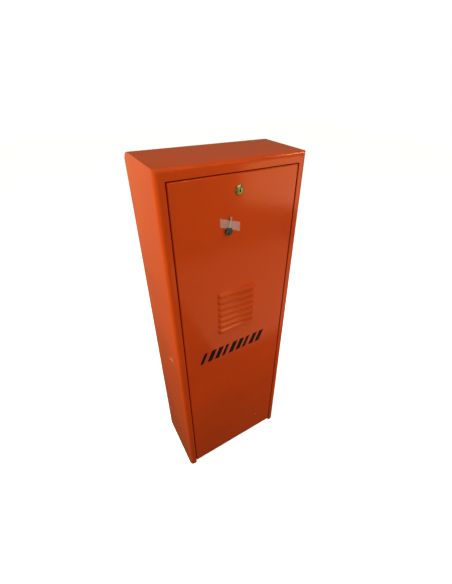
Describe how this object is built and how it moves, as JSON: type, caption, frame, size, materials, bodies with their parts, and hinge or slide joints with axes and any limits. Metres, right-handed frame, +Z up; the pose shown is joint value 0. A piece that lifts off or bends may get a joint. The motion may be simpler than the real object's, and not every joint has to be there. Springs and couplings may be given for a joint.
{
  "type": "parking barrier upright",
  "caption": "Upright cabinet of a hydraulic parking barrier: orange steel housing with a lockable louvred door, a quarter-turn drive inside and a beam flange at the rear.",
  "frame": {"origin": "centre of the cabinet's footprint, on the underside of the base plate", "axes": "+Z up, -Y out of the door, +Y out of the beam flange at the rear, +X to the right seen from the door"},
  "size_m": [0.375, 0.252, 1.08],
  "materials": {
    "orange_enamel": "glossy orange-red enamel on sheet steel",
    "zinc_plate": "zinc-plated steel",
    "dark_steel": "blackened steel",
    "ground_steel": "ground and polished steel",
    "cast_aluminium": "bare casting",
    "bronze": "machined bearing bronze",
    "brass": "dull brass",
    "black_paint": "semi-gloss black paint",
    "spring_paint": "black powder coat",
    "black_rubber": "matt black rubber",
    "grey_plastic": "light grey moulding",
    "clear_plastic": "clear moulding",
    "circuit_board": "green circuit board and terminals",
    "dark_plastic": "dark moulding"
  },
  "bodies": {
    "cabinet": {"side_panel_left": "orange_enamel", "side_panel_right": "orange_enamel", "hood_panel": "orange_enamel", "base_plate": "zinc_plate", "door_sill": "zinc_plate", "bearing_bridge": "zinc_plate", "rear_bearing_plate": "zinc_plate", "open_stop_bolt": "zinc_plate", "closed_stop_bolt": "zinc_plate", "open_stop_nut": "zinc_plate", "closed_stop_nut": "zinc_plate", "cylinder_bridge": "zinc_plate", "left_cylinder": "zinc_plate", "right_cylinder": "zinc_plate", "spring_adjuster": "zinc_plate", "box_bracket": "zinc_plate", "left_gland": "dark_steel", "right_gland": "dark_steel", "transformer": "dark_steel", "front_bearing_housing": "cast_aluminium", "rear_bearing_housing": "cast_aluminium", "oil_tank": "cast_aluminium", "pump_block": "cast_aluminium", "front_bush": "bronze", "rear_bush": "bronze", "pump_motor": "black_paint", "motor_cap": "black_paint", "filler_plug": "black_paint", "balance_spring": "spring_paint", "shaft_seal": "black_rubber", "left_hose": "black_rubber", "right_hose": "black_rubber", "motor_cable": "black_rubber", "control_box": "grey_plastic", "motor_capacitor": "grey_plastic", "control_box_lid": "clear_plastic", "control_board": "circuit_board", "terminal_strip": "circuit_board", "motor_terminal_box": "dark_plastic", "cable_gland_left": "dark_plastic", "cable_gland_right": "dark_plastic"},
    "shaft": {"drive_shaft": "ground_steel", "rocker_key": "dark_steel", "rocker_arm": "dark_steel", "shaft_collar": "zinc_plate", "beam_flange": "zinc_plate", "flange_bolt": "zinc_plate"},
    "left_plunger": {"left_plunger": "ground_steel", "spring_seat": "dark_steel"},
    "right_plunger": {"right_plunger": "ground_steel"},
    "door": {"door_panel": "orange_enamel", "lock_housing": "brass", "lock_nut": "zinc_plate", "key_head": "dark_plastic", "key_blade": "ground_steel"},
    "lock": {"lock_plug": "brass", "lock_cam": "zinc_plate"},
    "open_screw": {"open_force_screw": "brass"},
    "close_screw": {"close_force_screw": "brass"},
    "lever": {"release_lever": "black_paint"}
  },
  "joints": [
    {"name": "door_tilt", "type": "hinge", "parent": "cabinet", "child": "door", "pos_m": [0, -0.1035, 0.014], "axis": [1, 0, 0], "range_deg": [0, 30]},
    {"name": "lock_turn", "type": "hinge", "parent": "door", "child": "lock", "pos_m": [0, -0.1035, 1.016], "axis": [0, 1, 0], "range_deg": [0, 90]},
    {"name": "shaft_turn", "type": "hinge", "parent": "cabinet", "child": "shaft", "pos_m": [0, 0.035, 0.88], "axis": [0, -1, 0], "range_deg": [0, 90]},
    {"name": "left_plunger_slide", "type": "slide", "parent": "cabinet", "child": "left_plunger", "axis": [0, 0, 1], "range_m": [-0.0943, 0], "deforming": ["balance_spring"]},
    {"name": "right_plunger_slide", "type": "slide", "parent": "cabinet", "child": "right_plunger", "axis": [0, 0, 1], "range_m": [0, 0.0943]},
    {"name": "release_turn", "type": "hinge", "parent": "cabinet", "child": "lever", "pos_m": [0, -0.03, 0.172], "axis": [0, 1, 0], "range_deg": [0, 90]},
    {"name": "open_force_turn", "type": "hinge", "parent": "cabinet", "child": "open_screw", "pos_m": [-0.026, -0.02, 0.19], "axis": [0, 1, 0], "range_deg": [0, 270]},
    {"name": "close_force_turn", "type": "hinge", "parent": "cabinet", "child": "close_screw", "pos_m": [0.026, -0.02, 0.19], "axis": [0, 1, 0], "range_deg": [0, 270]}
  ],
  "couplings": [
    {"joint": "left_plunger_slide", "follows": "shaft_turn", "m_per_rad": -0.06},
    {"joint": "right_plunger_slide", "follows": "shaft_turn", "m_per_rad": 0.06}
  ]
}
